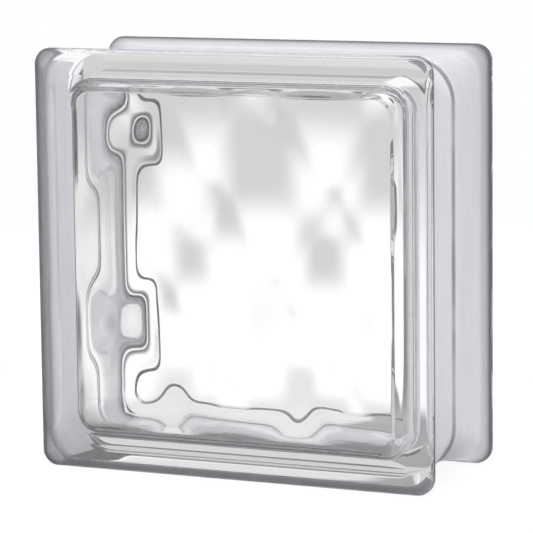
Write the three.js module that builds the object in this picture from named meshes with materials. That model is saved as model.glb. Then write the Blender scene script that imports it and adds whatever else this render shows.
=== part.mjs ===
// Hollow glass block for masonry walls.
//
// Two dished halves are pressed in one mould, turned face to face and fused at mid-depth,
// so the block holds a sealed air space. Each half has a framed face with mitred corners and
// a sunk panel, a rounded lip, a side wall that falls back behind the lip to hold the mortar,
// half of the fused bead at the seam, and a water-wave relief pressed into the inside of its
// panel.
//
// Millimetres. X runs across the face, Y from the front face to the back face, Z up.
// The origin is on the ground under the middle of the block, and the seam is at Y = 0.

import * as THREE from "three";
import { mergeVertices } from "three/addons/utils/BufferGeometryUtils.js";

// Overall size.
const blockWidth = 190;
const blockHeight = 190;
const blockDepth = 80;

// Outer edge of each face.
const lipCorner = 7.5; // corner radius of the outline, seen from the front
const lipRounding = 2.4; // rounding from the face onto the edge
const lipLand = 1.6; // flat strip of the edge that the block stands on

// Side wall behind the lip.
const rampDrop = 3.2; // fall behind the lip
const rampLength = 7.0; // depth over which it falls
const seamInset = 4.6; // how far the wall lies inside the outline at the seam
const seamCorner = 19; // corner radius of the wall at the seam
const beadWidth = 3.4; // fused bead, across both halves
const beadRise = 0.9; // how far it stands proud of the wall

// Framed face: it rises from the lip to a crest, slopes down to a shoulder, and steps down
// to the panel. Margins are measured from the outer edge, and drops from the crest.
const lipDrop = 0.5;
const crestMargin = 11.6;
const crestCorner = 0.5; // corner radius of the crest, which is all but mitred
const shoulderMargin = 16.6;
const shoulderDrop = 0.5;
const shoulderCorner = 9;
const panelMargin = 18.9;
const panelDrop = 1.9;
const panelCorner = 8.3;

// Hollow.
const panelThickness = 8; // at the edge of the panel, where the relief has died out
const wallThickness = 6.6; // side wall at the seam
const wallDraft = 3; // degrees that the wall leans in towards the panel
const hollowCorner = 13; // corner radius of the hollow
const hollowFillet = 3.2; // rounding between the wall and the panel
const reliefFade = 4; // width over which the relief dies out towards the fillet

// Water-wave relief: two families of flutes that cross, each a shallow hollow between rounded
// ridges. Heading is the angle across the flutes from +X towards +Z, in degrees, and pitch the
// distance from ridge to ridge. Shift moves the family by a share of its pitch, slope is its
// greatest steepness, and ridge the share of the pitch that the rounded ridge takes.
const fluteFamilies = [
  { heading: 34.5, pitch: 54.7, shift: 0.672, slope: 0.173, ridge: 0.22 },
  { heading: -36.2, pitch: 45.2, shift: 0.1765, slope: 0.164, ridge: 0.16 },
];
const reliefSink = 0.9; // how much deeper than the panel's edge the relief lies on average

// Fineness of the surfaces.
const ringCount = 20; // rings of faces from the middle of a panel to the seam
const beadSteps = 2;
const wallSteps = 1;
const rampSteps = 3;
const roundingSteps = 3;
const draftSteps = 2;
const filletSteps = 3;
const cornerShare = 0.22; // share of each ring's points that lies in its corners

const halfDepth = blockDepth / 2;
const quarterTurn = Math.PI / 2;
const eighthTurn = Math.PI / 4;

// A path through the section of one half. Its x is the distance inside the block's outline
// and its y the distance from the seam.
function outerWallPath() {
  const path = new THREE.Path();
  path.moveTo(seamInset - beadRise, 0);
  path.quadraticCurveTo(seamInset - beadRise, beadWidth / 2, seamInset, beadWidth / 2);
  return path;
}

// Side wall from the bead to the foot of the ramp, then up the ramp to the edge's flat land.
function rampPath() {
  const landStart = halfDepth - lipDrop - lipRounding - lipLand;
  const rampStart = landStart - rampLength;
  const path = new THREE.Path();
  path.moveTo(rampDrop, rampStart);
  path.bezierCurveTo(
    rampDrop, rampStart + rampLength / 2,
    0, landStart - rampLength / 2,
    0, landStart,
  );
  return path;
}

// Rounding from the edge's land onto the face.
function roundingPath() {
  const centreDepth = halfDepth - lipDrop - lipRounding;
  const path = new THREE.Path();
  path.absarc(lipRounding, centreDepth, lipRounding, Math.PI, quarterTurn, true);
  return path;
}

// Corner radius of the side wall, which opens out from the lip to the seam.
function wallCorner(inset) {
  return THREE.MathUtils.lerp(lipCorner, seamCorner, inset / seamInset);
}

function station(inset, depth, corner) {
  return { inset, depth, corner };
}

// Rings of the outside, from the seam to the edge of the panel.
function outerStations() {
  const wall = outerWallPath().getPoints(beadSteps);
  const ramp = rampPath().getPoints(rampSteps);
  for (let step = 1; step < wallSteps; step++) {
    wall.push(wall[beadSteps].clone().lerp(ramp[0], step / wallSteps));
  }
  const side = [...wall, ...ramp].map((p) => station(p.x, p.y, wallCorner(p.x)));
  const rounding = roundingPath().getPoints(roundingSteps);
  return [
    ...side,
    ...rounding.map((p) => station(p.x, p.y, lipCorner - p.x)),
    station(crestMargin, halfDepth, crestCorner),
    station(shoulderMargin, halfDepth - shoulderDrop, shoulderCorner),
    station(panelMargin, halfDepth - panelDrop, panelCorner),
  ];
}

// Rings of the hollow, from the seam to the end of the fillet on the panel.
function innerStations() {
  const lean = THREE.MathUtils.degToRad(wallDraft);
  const panelDepth = halfDepth - panelDrop - panelThickness;
  const seamStart = seamInset + wallThickness;
  // The fillet touches the leaning wall and the panel.
  const filletCentreDepth = panelDepth - hollowFillet;
  const wallTouch = filletCentreDepth + hollowFillet * Math.sin(lean);
  const touchInset = seamStart + wallTouch * Math.tan(lean);
  const filletCentreInset = touchInset + hollowFillet * Math.cos(lean);
  const fillet = new THREE.Path();
  fillet.absarc(filletCentreInset, filletCentreDepth, hollowFillet, Math.PI - lean, quarterTurn, true);
  const start = new THREE.Vector2(seamStart, 0);
  const curve = fillet.getPoints(filletSteps);
  const wall = [];
  for (let step = 0; step < draftSteps; step++) {
    wall.push(start.clone().lerp(curve[0], step / draftSteps));
  }
  return [...wall, ...curve].map((p) => station(p.x, p.y, hollowCorner));
}

// Adds the rings between the last station and the middle of the panel, each a smaller copy
// of the one outside it, and lists them from the middle outwards.
function fillToMiddle(stations) {
  const last = stations[stations.length - 1];
  const innerRings = ringCount - (stations.length - 1);
  const rings = [];
  for (let ring = 0; ring < innerRings; ring++) {
    rings.push({ ...last, scale: ring / innerRings });
  }
  const outside = stations.map((ring) => ({ ...ring, scale: 1 })).reverse();
  return [...rings, ...outside];
}

// Point of a ring, which is a rectangle with rounded corners. across is the side that the
// point is on, and along its place from the middle of that side (0) to the corner (1).
function ringPoint(ring, acrossHalf, alongHalf, along) {
  const radius = ring.corner * ring.scale;
  const acrossSize = (acrossHalf - ring.inset) * ring.scale;
  const alongSize = (alongHalf - ring.inset) * ring.scale;
  const straightShare = 1 - cornerShare;
  if (along <= straightShare) {
    return { across: acrossSize, along: (alongSize - radius) * (along / straightShare) };
  }
  const angle = ((along - straightShare) / cornerShare) * eighthTurn;
  return {
    across: acrossSize - radius + radius * Math.cos(angle),
    along: alongSize - radius + radius * Math.sin(angle),
  };
}

// Height of one family of flutes over its mean. Phase is the place across them, which runs
// from the middle of one hollow (0) over a ridge to the middle of the next (1). The hollow and
// the ridge are parabolas that meet at the greatest slope, 1 in these terms, so the ridge
// stands 1/4 over the hollow and their mean is (1 + ridge) / 12.
function fluteHeight({ pitch, slope, ridge }, phase) {
  const fromHollow = Math.abs(phase - Math.round(phase));
  const fromRidge = 1 / 2 - fromHollow;
  const inHollow = fromRidge > ridge / 2;
  const shape = inHollow ? fromHollow ** 2 / (1 - ridge) : 1 / 4 - fromRidge ** 2 / ridge;
  const mean = (1 + ridge) / 12;
  return slope * pitch * (shape - mean);
}

// Height of the relief at a place on the panel, over the level of the panel's edge.
function relief(x, z) {
  let height = -reliefSink;
  for (const family of fluteFamilies) {
    const heading = THREE.MathUtils.degToRad(family.heading);
    const travel = x * Math.cos(heading) + z * Math.sin(heading);
    height += fluteHeight(family, travel / family.pitch + family.shift);
  }
  return height;
}

// Share of the relief that is left near the edge of the panel.
function reliefShare(x, z, edge) {
  const toSide = blockWidth / 2 - edge.inset - Math.abs(x);
  const toEnd = blockHeight / 2 - edge.inset - Math.abs(z);
  return THREE.MathUtils.smoothstep(Math.min(toSide, toEnd), 0, reliefFade);
}

// One pressed half, made from a slab of ringCount rings: the slab's front becomes the outside,
// its back the hollow, and its edge the flat face that is fused to the other half. It faces
// -Y and is centred on the panel.
function pressedHalf() {
  const outer = fillToMiddle(outerStations());
  const inner = fillToMiddle(innerStations());
  const panelEdge = inner[inner.length - innerStations().length];
  const slab = new THREE.BoxGeometry(2, 2, 2, 2 * ringCount, 1, 2 * ringCount);
  slab.deleteAttribute("normal");
  slab.deleteAttribute("uv");
  const position = slab.attributes.position;
  for (let i = 0; i < position.count; i++) {
    const s = position.getX(i);
    const t = position.getZ(i);
    const onOutside = position.getY(i) < 0;
    const reach = Math.max(Math.abs(s), Math.abs(t));
    const ring = (onOutside ? outer : inner)[Math.round(reach * ringCount)];
    const along = reach > 0 ? Math.min(Math.abs(s), Math.abs(t)) / reach : 0;
    const sideways = Math.abs(s) >= Math.abs(t);
    const point = sideways
      ? ringPoint(ring, blockWidth / 2, blockHeight / 2, along)
      : ringPoint(ring, blockHeight / 2, blockWidth / 2, along);
    const x = Math.sign(s) * (sideways ? point.across : point.along);
    const z = Math.sign(t) * (sideways ? point.along : point.across);
    const onRelief = !onOutside && ring.depth === panelEdge.depth;
    const rise = onRelief ? relief(x, z) * reliefShare(x, z, panelEdge) : 0;
    position.setXYZ(i, x, rise - ring.depth, z);
  }
  return mergeVertices(slab);
}

function glass() {
  return new THREE.MeshStandardMaterial({ color: 0xdde6e2, roughness: 0.05, metalness: 0 });
}

const halfShape = pressedHalf();

const frontHalf = new THREE.Mesh(halfShape, glass());
frontHalf.name = "front_half";

const backHalf = new THREE.Mesh(halfShape, glass());
backHalf.name = "back_half";
backHalf.rotation.z = Math.PI;

const block = new THREE.Group();
block.name = "glass_block";
block.position.z = blockHeight / 2;
block.add(frontHalf, backHalf);

export default block;
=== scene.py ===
"""Looks of a hollow glass block: two pressed halves fused at mid-depth, clear faces with a
water-wave relief inside, and sides coated for the mortar."""
import math

import bmesh
import bpy
from mathutils import Matrix, Vector


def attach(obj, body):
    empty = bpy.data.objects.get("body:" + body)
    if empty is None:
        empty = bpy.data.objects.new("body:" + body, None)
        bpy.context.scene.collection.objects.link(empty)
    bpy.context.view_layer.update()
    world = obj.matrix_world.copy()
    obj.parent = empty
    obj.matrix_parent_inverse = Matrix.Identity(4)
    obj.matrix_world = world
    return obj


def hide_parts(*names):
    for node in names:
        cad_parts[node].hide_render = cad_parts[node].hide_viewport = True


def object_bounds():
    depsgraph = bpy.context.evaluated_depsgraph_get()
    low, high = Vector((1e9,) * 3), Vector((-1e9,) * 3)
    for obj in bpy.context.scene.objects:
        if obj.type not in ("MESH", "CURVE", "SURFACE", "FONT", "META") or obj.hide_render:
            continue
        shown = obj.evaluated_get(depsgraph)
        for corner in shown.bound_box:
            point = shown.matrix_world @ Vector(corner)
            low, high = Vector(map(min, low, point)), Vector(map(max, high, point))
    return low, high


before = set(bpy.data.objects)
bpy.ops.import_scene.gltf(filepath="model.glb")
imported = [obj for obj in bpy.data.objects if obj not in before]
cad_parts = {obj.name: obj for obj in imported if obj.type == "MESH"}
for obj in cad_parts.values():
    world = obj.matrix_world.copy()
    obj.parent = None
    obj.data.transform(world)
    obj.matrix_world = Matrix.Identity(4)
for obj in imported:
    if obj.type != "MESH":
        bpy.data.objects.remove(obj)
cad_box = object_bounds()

MM = 0.001
low, high = cad_box
block_width, block_depth, block_height = (high[i] - low[i] for i in range(3))
half_depth = block_depth / 2
middle = Vector((0, 0, block_height / 2))

# Outer edge of each face.
lip_corner = 7.5 * MM
lip_rounding = 2.4 * MM
lip_land = 1.6 * MM

# Side wall behind the lip.
ramp_drop = 3.2 * MM
ramp_length = 7.0 * MM
seam_inset = 4.6 * MM
seam_corner = 19 * MM
bead_width = 3.4 * MM
bead_rise = 0.9 * MM

# Framed face: an outer bevel up to a crest, an inner bevel down to a shoulder, and a step down
# to the panel.
outer_bevel_rise = 0.5 * MM
crest_margin = 11.6 * MM
crest_corner = 0.5 * MM
shoulder_margin = 16.6 * MM
shoulder_drop = 0.5 * MM
shoulder_corner = 9 * MM
panel_margin = 18.9 * MM
panel_drop = 1.9 * MM
panel_corner = 8.3 * MM
edge_ease = 0.4 * MM  # how far each of these edges is rounded to its sides

# Hollow.
inner_panel_depth = 30.1 * MM  # from the seam
wall_thickness = 6.6 * MM
wall_draft = math.radians(3)
hollow_corner = 13 * MM
hollow_fillet = 3.2 * MM
relief_fade = 4 * MM

# Flutes of the relief, in two families that cross: heading across them from +X towards +Z,
# pitch, shift along the heading as a share of the pitch, greatest slope, and the share of the
# pitch that the rounded ridge takes.
flutes = [
    (math.radians(34.5), 54.7 * MM, 0.672, 0.173, 0.22),
    (math.radians(-36.2), 45.2 * MM, 0.1765, 0.164, 0.16),
]
relief_lift = -0.9 * MM
relief_soft = 3.2 * MM  # how far to each side the fire polish has softened the flutes
soft_samples = 3  # heights averaged on each side for that

# Rings of faces: on a flat or wavy panel, from its middle to its edge, and over each stretch of
# the sections, from the seam to the panel.
flat_rings = 8
wavy_rings = 60
bead_rings = 6
wall_rings = 6
ramp_rings = 10
rounding_rings = 8
ease_rings = 3
draft_rings = 8
fillet_rings = 10
corner_share = 0.2  # share of each ring's points that lies in its corners
weld = 0.01 * MM  # points of the two halves that are closer than this become one


# ---------------------------------------------------------------- sections

# A section is a list of vectors: inset from the outer edge, depth from the seam, and radius of
# the rounded rectangle's corners there.

def bezier(points, steps):
    """Points of a curve with the given control points."""
    curve = []
    for i in range(steps + 1):
        t = i / steps
        level = [Vector(p) for p in points]
        while len(level) > 1:
            level = [a.lerp(b, t) for a, b in zip(level, level[1:])]
        curve.append(level[0])
    return curve


def straight(a, b, steps):
    """Points from a to b, without either."""
    return [Vector(a).lerp(Vector(b), i / steps) for i in range(1, steps)]


def arc(centre, radius, start, end, steps, corner):
    """Points round a centre, which is an inset and a depth, from one angle to another."""
    turns = [start + (end - start) * i / steps for i in range(steps + 1)]
    return [
        Vector((centre[0] + radius * math.cos(a), centre[1] + radius * math.sin(a), corner))
        for a in turns
    ]


def eased(points, reach, steps):
    """A line through the points, with the edges between its ends rounded."""
    points = [Vector(p) for p in points]
    line = [points[0]]
    for before, edge, after in zip(points, points[1:], points[2:]):
        start = edge + (before - edge).normalized() * reach
        end = edge + (after - edge).normalized() * reach
        line += bezier([start, edge, end], steps)
    return line + [points[-1]]


def side_section():
    """The coated side, from the seam out to the lip."""
    land_start = half_depth - outer_bevel_rise - lip_rounding - lip_land
    ramp_start = land_start - ramp_length
    ramp_corner = seam_corner + (lip_corner - seam_corner) * ramp_drop / seam_inset
    bead_top = seam_inset - bead_rise
    bead = bezier([
        (bead_top, 0, seam_corner),
        (bead_top, bead_width / 4, seam_corner),
        (seam_inset, bead_width / 4, seam_corner),
        (seam_inset, bead_width / 2, seam_corner),
    ], bead_rings)
    ramp = bezier([
        (ramp_drop, ramp_start, ramp_corner),
        (ramp_drop, ramp_start + ramp_length / 2, ramp_corner),
        (0, land_start - ramp_length / 2, lip_corner),
        (0, land_start, lip_corner),
    ], ramp_rings)
    return bead + straight(bead[-1], ramp[0], wall_rings) + ramp


def face_section():
    """The face, from the lip's rounding in to the panel."""
    lip_depth = half_depth - outer_bevel_rise
    rounding = arc((lip_rounding, lip_depth - lip_rounding), lip_rounding,
                   math.pi, math.pi / 2, rounding_rings, lip_corner)
    for point in rounding:
        point.z -= point.x
    bevels = eased([
        rounding[-1],
        (crest_margin, half_depth, crest_corner),
        (shoulder_margin, half_depth - shoulder_drop, shoulder_corner),
        (panel_margin, half_depth - panel_drop, panel_corner),
        (panel_margin + 2 * edge_ease, half_depth - panel_drop, panel_corner),
    ], edge_ease, ease_rings)
    return rounding + bevels[1:]


def hollow_section():
    """The hollow, from the seam to the end of the fillet on the panel."""
    seam_start = seam_inset + wall_thickness
    centre_depth = inner_panel_depth - hollow_fillet
    touch_depth = centre_depth + hollow_fillet * math.sin(wall_draft)
    touch_inset = seam_start + touch_depth * math.tan(wall_draft)
    centre_inset = touch_inset + hollow_fillet * math.cos(wall_draft)
    fillet = arc((centre_inset, centre_depth), hollow_fillet,
                 math.pi - wall_draft, math.pi / 2, fillet_rings, hollow_corner)
    seam = Vector((seam_start, 0, hollow_corner))
    return [seam] + straight(seam, fillet[0], draft_rings) + fillet


# ---------------------------------------------------------------- block

def flute(phase, pitch, slope, ridge):
    """Height over the mean of scalloped flutes: shallow hollows between rounded ridges. Both
    are parabolas, and they meet at the greatest slope. In units of slope and pitch, a ridge
    stands 1/4 over a hollow and the mean is (1 + ridge) / 12."""
    phase = abs((phase + 0.5) % 1 - 0.5)
    if phase < (1 - ridge) / 2:
        height = phase * phase / (1 - ridge)
    else:
        height = 0.25 - (0.5 - phase) ** 2 / ridge
    return slope * pitch * (height - (1 + ridge) / 12)


def relief(x, z):
    """Height of the relief, each family averaged over a short way across its flutes."""
    height = relief_lift
    for heading, pitch, shift, slope, ridge in flutes:
        travel = x * math.cos(heading) + z * math.sin(heading)
        for i in range(-soft_samples, soft_samples + 1):
            phase = (travel + i / soft_samples * relief_soft) / pitch + shift
            height += flute(phase, pitch, slope, ridge) / (2 * soft_samples + 1)
    return height


def relief_share(x, z, inset):
    """1 where the relief is whole, 0 at the edge of the panel."""
    to_side = block_width / 2 - inset - abs(x)
    to_end = block_height / 2 - inset - abs(z)
    share = min(max(min(to_side, to_end) / relief_fade, 0), 1)
    return share * share * (3 - 2 * share)


def ring_point(half_across, half_along, inset, corner, scale, along):
    """Place on a ring, a rectangle with rounded corners: along runs from the middle of a side
    (0) to the corner (1)."""
    radius = corner * scale
    across_size = (half_across - inset) * scale
    along_size = (half_along - inset) * scale
    side_share = 1 - corner_share
    if along <= side_share:
        return across_size, (along_size - radius) * along / side_share
    turn = (along - side_share) / corner_share * math.pi / 4
    return (across_size - radius + radius * math.cos(turn),
            along_size - radius + radius * math.sin(turn))


def skin(section, panel_rings, wavy):
    """One half's outside or hollow, as a grid pressed onto the section's rings."""
    rings = panel_rings + len(section) - 1
    sides = (block_width / 2, block_height / 2)
    bm = bmesh.new()
    bmesh.ops.create_grid(bm, x_segments=2 * rings, y_segments=2 * rings, size=1)
    for vertex in bm.verts:
        s, t = vertex.co.x, vertex.co.y
        reach = max(abs(s), abs(t))
        ring = round(reach * rings)
        inset, depth, corner = section[min(rings - ring, len(section) - 1)]
        scale = min(ring / panel_rings, 1)
        along = min(abs(s), abs(t)) / reach if reach > 0 else 0
        if abs(s) >= abs(t):
            x, z = ring_point(*sides, inset, corner, scale, along)
        else:
            z, x = ring_point(*reversed(sides), inset, corner, scale, along)
        x, z = math.copysign(x, s), math.copysign(z, t)
        if wavy and ring <= panel_rings:
            depth -= relief(x, z) * relief_share(x, z, inset)
        vertex.co = (x, -depth, z)
    return bm


def both_halves(bm):
    """Adds the second half, a copy turned about Z, and fuses the two at the seam."""
    copy = bmesh.ops.duplicate(bm, geom=bm.verts[:] + bm.edges[:] + bm.faces[:])
    turned = [g for g in copy["geom"] if isinstance(g, bmesh.types.BMVert)]
    bmesh.ops.rotate(bm, verts=turned, cent=(0, 0, 0), matrix=Matrix.Rotation(math.pi, 3, "Z"))
    bmesh.ops.remove_doubles(bm, verts=bm.verts, dist=weld)
    bmesh.ops.translate(bm, verts=bm.verts, vec=middle)
    bmesh.ops.recalc_face_normals(bm, faces=bm.faces)


def glass_block():
    """The whole block: the outside, with its coating marked, and the hollow inside it."""
    side = side_section()
    outside = skin(side + face_section(), flat_rings, wavy=False)
    coat_depth = side[-1].y + lip_land / 2
    both_halves(outside)
    mask = outside.verts.layers.float.new("coating")
    for vertex in outside.verts:
        vertex[mask] = 1.0 if abs(vertex.co.y) < coat_depth else 0.0
    hollow = skin(hollow_section(), wavy_rings, wavy=True)
    hollow.verts.layers.float.new("coating")
    both_halves(hollow)
    bmesh.ops.reverse_faces(hollow, faces=hollow.faces)
    mesh = bpy.data.meshes.new("glass_block")
    inner = bpy.data.meshes.new("hollow")
    hollow.to_mesh(inner)
    outside.from_mesh(inner)
    outside.to_mesh(mesh)
    bpy.data.meshes.remove(inner)
    for face in mesh.polygons:
        face.use_smooth = True
    block = bpy.data.objects.new("glass_block", mesh)
    bpy.context.scene.collection.objects.link(block)
    return block


# ---------------------------------------------------------------- materials

def linear(hex_colour):
    """sRGB hex to linear RGBA."""
    def channel(value):
        return value / 12.92 if value <= 0.04045 else ((value + 0.055) / 1.055) ** 2.4
    return tuple(channel(int(hex_colour[i:i + 2], 16) / 255) for i in (1, 3, 5)) + (1.0,)


def add(tree, kind, sockets=(), **settings):
    """Adds a node and returns its outputs. The sockets are given in their order, or by name or
    number, and each takes a value or another node's output. The other settings are the node's
    own."""
    node = tree.nodes.new(kind)
    for name, value in settings.items():
        setattr(node, name, value)
    given = sockets if isinstance(sockets, dict) else dict(enumerate(sockets))
    for key, value in given.items():
        if isinstance(value, bpy.types.NodeSocket):
            tree.links.new(value, node.inputs[key])
        else:
            node.inputs[key].default_value = value
    return node.outputs


def new_material(name):
    """An empty material, and its node tree."""
    material = bpy.data.materials.new(name)
    material.use_nodes = True
    material.node_tree.nodes.clear()
    return material, material.node_tree


glass_ior = 1.52
glass_colour = "#FFFFFF"
thick_glass_colour = "#DCDFDE"
thick_glass_density = 5.0

# The coating. A pair of distances is where a change begins and where it ends.
coat_colour = "#E6E5EB"
# Grey that paints shade on the coating, towards the lips and along the bead.
coat_shade_colour = "#737277"
coat_through = 0.4  # share of the light it takes that shines through
cover_outside = 0.96
cover_inside = 0.12  # what it takes of light that meets it steeply from within the glass
coat_gap_ior = 1.058  # low, so that only light that runs along the wall is mirrored under it
lip_shade_inside = (21 * MM, 37 * MM)  # where painted shade and cover grow towards the lip, seen through the glass
lip_shade_outside = (31.5 * MM, 34.5 * MM)  # and where painted shade grows on the lip's ramp, seen from outside
# Painted shade along the bead: where it begins and where it is whole, from the seam.
bead_shade_reach = (0.9 * bead_width, 0.4 * bead_width)
bead_shade_range = (0.22, 0.55)  # how strong the painted shade along the bead is, in its lighter and darker patches
patch_size = 33.3 * MM  # of the lighter and darker patches of that painted shade
streak_length = 33.3 * MM  # of the marks that the brush left
streak_width = 1.11 * MM
streak_depth = 0.07
noise_middle = (0.3, 0.7)  # part of a noise's range that most of it lies in


def pressed_soda_lime_glass():
    """Soda-lime glass, pressed and fire polished: clear, glossy, and a little grey where it is
    thick. Its sides were brushed with a milky coating that holds the mortar: matt and pale, and
    streaked along the block. Its colour is greyed towards the lips and along the bead, which is
    painted shade, patchy on the bead. The coating only rests on the glass, so light that runs
    along the wall is mirrored under it, and light that meets it steeply from within mostly goes
    through."""
    material, tree = new_material("pressed_soda_lime_glass")
    place = add(tree, "ShaderNodeTexCoord")["Object"]
    parts = add(tree, "ShaderNodeSeparateXYZ", (place,))
    depth = add(tree, "ShaderNodeMath", (parts["Y"],), operation="ABSOLUTE")[0]
    within = add(tree, "ShaderNodeNewGeometry")["Backfacing"]

    # Painted shade, greying the coating towards the lips and in patches along the bead, and the
    # brush marks.
    towards_lip = add(tree, "ShaderNodeMapRange", (depth, *lip_shade_inside),
                      interpolation_type="SMOOTHSTEP")[0]
    on_lip = add(tree, "ShaderNodeMapRange", (depth, *lip_shade_outside),
                 interpolation_type="SMOOTHSTEP")[0]
    lip_shade_mask = add(tree, "ShaderNodeMix", {0: within, 2: on_lip, 3: towards_lip},
                   data_type="FLOAT")[0]
    on_bead = add(tree, "ShaderNodeMapRange", (depth, *bead_shade_reach),
                  interpolation_type="SMOOTHSTEP")[0]
    patches = add(tree, "ShaderNodeTexNoise", {
        "Vector": place, "Scale": 1 / patch_size, "Detail": 2.0,
    })["Fac"]
    bead_shade_patches = add(tree, "ShaderNodeMapRange", (patches, *noise_middle, *bead_shade_range),
                 interpolation_type="SMOOTHSTEP")[0]
    bead_shade_mask = add(tree, "ShaderNodeMath", (on_bead, bead_shade_patches), operation="MULTIPLY")[0]
    painted_shade = add(tree, "ShaderNodeMath", (lip_shade_mask, bead_shade_mask), operation="MAXIMUM")[0]
    stretch = (1 / streak_length, 1 / streak_width, 1 / streak_length)
    stretched = add(tree, "ShaderNodeVectorMath", (place, stretch), operation="MULTIPLY")[0]
    streaks = add(tree, "ShaderNodeTexNoise", {
        "Vector": stretched, "Scale": 1.0, "Detail": 3.0,
    })["Fac"]
    streaked = add(tree, "ShaderNodeMapRange", (streaks, *noise_middle, 0.0, streak_depth),
                   interpolation_type="SMOOTHSTEP")[0]
    shade_and_streaks = add(tree, "ShaderNodeMath", (painted_shade, streaked), operation="ADD", use_clamp=True)[0]
    # The coating's colour, greyed where shade is painted and a little in the brush marks.
    tint = add(tree, "ShaderNodeMix", {
        0: shade_and_streaks, 6: linear(coat_colour), 7: linear(coat_shade_colour),
    }, data_type="RGBA")[2]

    # How much of the light it takes.
    coated = add(tree, "ShaderNodeAttribute", attribute_name="coating")["Fac"]
    covered = add(tree, "ShaderNodeMath", (towards_lip, cover_inside), operation="MAXIMUM")[0]
    cover = add(tree, "ShaderNodeMix", {0: within, 2: cover_outside, 3: covered},
                data_type="FLOAT")[0]
    trapped = add(tree, "ShaderNodeFresnel", {"IOR": glass_ior})[0]
    caught = add(tree, "ShaderNodeMix", {0: trapped, 2: cover, 3: 1.0}, data_type="FLOAT")[0]
    mirrored = add(tree, "ShaderNodeFresnel", {"IOR": coat_gap_ior})[0]
    taken = add(tree, "ShaderNodeMath", (caught, mirrored), operation="SUBTRACT",
                use_clamp=True)[0]
    painted = add(tree, "ShaderNodeMath", (coated, taken), operation="MULTIPLY")[0]

    glass = add(tree, "ShaderNodeBsdfPrincipled", {
        "Base Color": linear(glass_colour), "Roughness": 0.0, "Transmission Weight": 1.0,
        "IOR": glass_ior,
    })[0]
    milk = add(tree, "ShaderNodeBsdfDiffuse", {"Color": tint})[0]
    glow = add(tree, "ShaderNodeBsdfTranslucent", {"Color": tint})[0]
    paint = add(tree, "ShaderNodeMixShader", (coat_through, milk, glow))[0]
    surface = add(tree, "ShaderNodeMixShader", (painted, glass, paint))[0]
    absorption = add(tree, "ShaderNodeVolumeAbsorption", {
        "Color": linear(thick_glass_colour), "Density": thick_glass_density,
    })[0]
    add(tree, "ShaderNodeOutputMaterial", {"Surface": surface, "Volume": absorption})
    return material


# ---------------------------------------------------------------- set

# The set's light depends only on the direction from the block. It is made of soft steps: the
# axis that a step follows, where along it the step begins and ends, from -1 to 1, and the
# brightness at each.
light_steps = {
    # What the glass shows: a white sheet behind the block, grey along the horizon, with a dim
    # room round it and a softbox overhead.
    "sheet_left": ("X", -0.92, -0.72, 0.0, 1.0),
    "sheet_right": ("X", 0.12, 0.25, 1.0, 0.0),
    "sheet_front": ("Y", 0.3, -0.1, 1.0, 0.0),
    "sheet_top": ("Z", 0.18, 0.28, 1.0, 0.0),
    "below_horizon": ("Z", -0.16, -0.03, 1.0, 0.52),
    "above_horizon": ("Z", 0.03, 0.14, 0.52, 0.62),
    "under_block": ("Z", -0.62, -0.42, 0.6, 1.0),
    "room_front": ("Y", -0.45, -0.8, 0.0, 0.45),
    "room_right": ("X", 0.5, 0.9, 0.0, 0.45),
    "softbox": ("Z", 0.8, 0.95, 0.0, 0.76),
    # What lights the coating: more from the right than the left, little from the front, and
    # more from above.
    "lamp_sides": ("X", -0.8, 0.5, 1.2, 2.64),
    "lamp_back": ("Y", -0.1, 0.5, 0.05, 1.0),
    "lamp_above": ("Z", 0.1, 0.7, 0.0, 1.76),
}
shown_dimmest = 0.2  # what the glass shows where the sheet, room and softbox come to 0
shown_brightest = 1.12  # and where they come to 1

floor_size = 12.0
floor_colour = "#F4F4F4"
shadow_reach = (100 * MM, 300 * MM)  # from the middle of the block
shadow_fade = (0.8, 1.0)  # how much of the floor glows there, which hides the shadow

camera_place = (0.558029, -1.231108, 0.291169)
camera_yaw = math.radians(24.362)  # to the left of +Y
camera_pitch = math.radians(8.445)  # down
camera_roll = math.radians(-0.687)
focal_length = 5.694666  # in widths of the picture


def set_light(tree, heading):
    """Brightness of the set in a direction from the block. The camera sees plain white, the
    glass shows the sheet and the room, and the coating is lit by the lamps."""
    parts = add(tree, "ShaderNodeSeparateXYZ", (heading,))
    step = {}
    for name, (axis, *places) in light_steps.items():
        step[name] = add(tree, "ShaderNodeMapRange", (parts[axis], *places),
                         interpolation_type="SMOOTHSTEP")[0]

    upwards = add(tree, "ShaderNodeMath", (parts["Z"], 0.0), operation="GREATER_THAN")[0]
    above = add(tree, "ShaderNodeMath", (step["above_horizon"], step["sheet_top"]),
                operation="MULTIPLY")[0]
    shown = add(tree, "ShaderNodeMix", {0: upwards, 2: step["below_horizon"], 3: above},
                data_type="FLOAT")[0]
    for name in ("sheet_left", "sheet_right", "sheet_front", "under_block"):
        shown = add(tree, "ShaderNodeMath", (shown, step[name]), operation="MULTIPLY")[0]
    for name in ("room_front", "room_right", "softbox"):
        shown = add(tree, "ShaderNodeMath", (shown, step[name]), operation="MAXIMUM")[0]
    shown = add(tree, "ShaderNodeMapRange",
                (shown, 0.0, 1.0, shown_dimmest, shown_brightest))[0]

    around = add(tree, "ShaderNodeMath", (step["lamp_sides"], step["lamp_back"]),
                 operation="MULTIPLY")[0]
    lamps = add(tree, "ShaderNodeMath", (around, step["lamp_above"]), operation="MAXIMUM")[0]

    path = add(tree, "ShaderNodeLightPath")
    lighting = add(tree, "ShaderNodeMath", (path["Diffuse Depth"], path["Is Diffuse Ray"]),
                   operation="ADD", use_clamp=True)[0]
    light = add(tree, "ShaderNodeMix", {0: lighting, 2: shown, 3: lamps},
                data_type="FLOAT")[0]
    return add(tree, "ShaderNodeMath", (light, path["Is Camera Ray"]), operation="MAXIMUM")[0]


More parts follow.
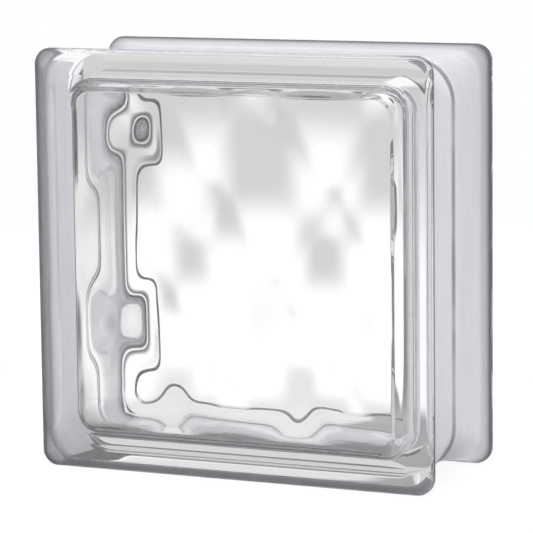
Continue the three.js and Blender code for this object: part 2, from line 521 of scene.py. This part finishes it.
def matt_white_paint():
    """Matt white paint, rolled on: pale, with no gloss. It glows as the rest of the set does,
    and shows only a faint shadow close to the block."""
    material, tree = new_material("matt_white_paint")
    place = add(tree, "ShaderNodeTexCoord")["Object"]
    distance = add(tree, "ShaderNodeVectorMath", (place,), operation="LENGTH")["Value"]
    glowing = add(tree, "ShaderNodeMapRange", (distance, *shadow_reach, *shadow_fade),
                  interpolation_type="SMOOTHSTEP")[0]
    from_block = add(tree, "ShaderNodeVectorMath", (place, middle), operation="SUBTRACT")[0]
    heading = add(tree, "ShaderNodeVectorMath", (from_block,), operation="NORMALIZE")[0]
    paint = add(tree, "ShaderNodeBsdfPrincipled", {
        "Base Color": linear(floor_colour), "Roughness": 0.9, "Specular IOR Level": 0.0,
    })[0]
    glow = add(tree, "ShaderNodeEmission", {
        "Color": linear("#FFFFFF"), "Strength": set_light(tree, heading),
    })[0]
    surface = add(tree, "ShaderNodeMixShader", (glowing, paint, glow))[0]
    add(tree, "ShaderNodeOutputMaterial", {"Surface": surface})
    return material


def floor():
    """A square floor, big enough to reach the horizon of the picture."""
    bm = bmesh.new()
    bmesh.ops.create_grid(bm, x_segments=1, y_segments=1, size=floor_size / 2)
    mesh = bpy.data.meshes.new("floor")
    bm.to_mesh(mesh)
    mesh.materials.append(matt_white_paint())
    plane = bpy.data.objects.new("floor", mesh)
    bpy.context.scene.collection.objects.link(plane)


def surroundings():
    """The light of the set in every direction that the floor doesn't fill."""
    world = bpy.data.worlds.new("studio")
    bpy.context.scene.world = world
    world.use_nodes = True
    tree = world.node_tree
    tree.nodes.clear()
    heading = add(tree, "ShaderNodeTexCoord")["Generated"]
    background = add(tree, "ShaderNodeBackground", {
        "Color": linear("#FFFFFF"), "Strength": set_light(tree, heading),
    })[0]
    add(tree, "ShaderNodeOutputWorld", {"Surface": background})


def camera():
    """A long lens, right of the block and a little above it."""
    data = bpy.data.cameras.new("camera")
    data.lens = focal_length * data.sensor_width
    cam = bpy.data.objects.new("camera", data)
    cam.location = camera_place
    level = Matrix.Rotation(math.pi / 2, 3, "X")
    turn = Matrix.Rotation(camera_yaw, 3, "Z")
    tilt = Matrix.Rotation(-camera_pitch, 3, "X")
    lean = Matrix.Rotation(camera_roll, 3, "Z")
    cam.rotation_euler = (turn @ level @ tilt @ lean).to_euler()
    bpy.context.scene.collection.objects.link(cam)
    bpy.context.scene.camera = cam


block = glass_block()
block.data.materials.append(pressed_soda_lime_glass())
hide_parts("front_half", "back_half")
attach(block, "root")
floor()
surroundings()
camera()

scene = bpy.context.scene
scene.view_settings.view_transform = "Standard"
scene.cycles.blur_glossy = 0.0
scene.cycles.max_bounces = 32
scene.cycles.diffuse_bounces = 16
scene.cycles.transmission_bounces = 32
scene.cycles.glossy_bounces = 24
